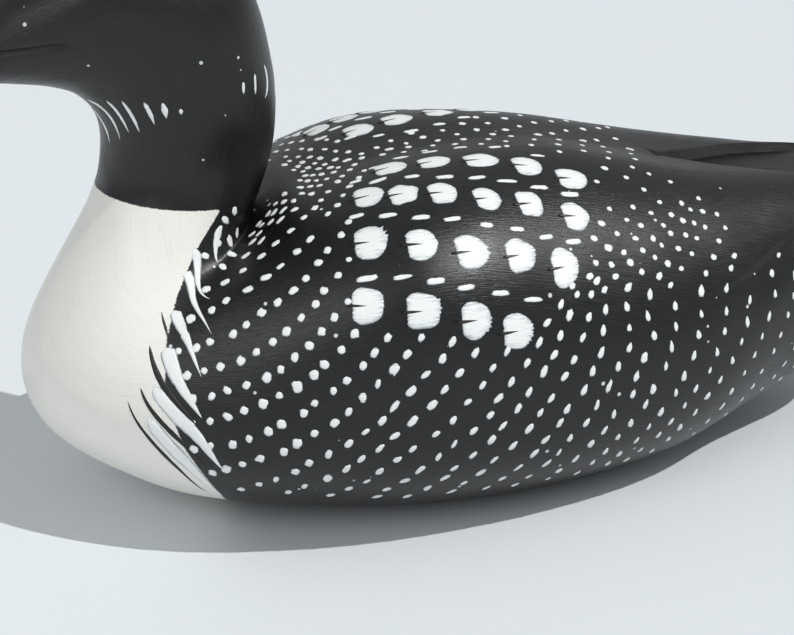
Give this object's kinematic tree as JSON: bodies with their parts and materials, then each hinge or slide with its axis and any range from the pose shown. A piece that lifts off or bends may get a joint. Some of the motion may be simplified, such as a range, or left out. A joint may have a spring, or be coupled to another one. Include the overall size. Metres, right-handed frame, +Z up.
{
  "type": "carved wooden loon figurine",
  "caption": "Carved and painted wooden loon at rest on a flat underside, with a black head, white breast and a dark back covered in white dabs, wings folded into a V over the tail.",
  "frame": {"origin": "on the table plane, under the middle of the bounding box", "axes": "+Z up, the bird faces -X, its left side faces -Y"},
  "size_m": [0.4, 0.1508, 0.185],
  "materials": {
    "painted_wood": "satin black paint with warm white breast, dots and notched spots over a carved wooden block"
  },
  "bodies": {
    "root": {"loon_figurine": "painted_wood"}
  },
  "joints": []
}
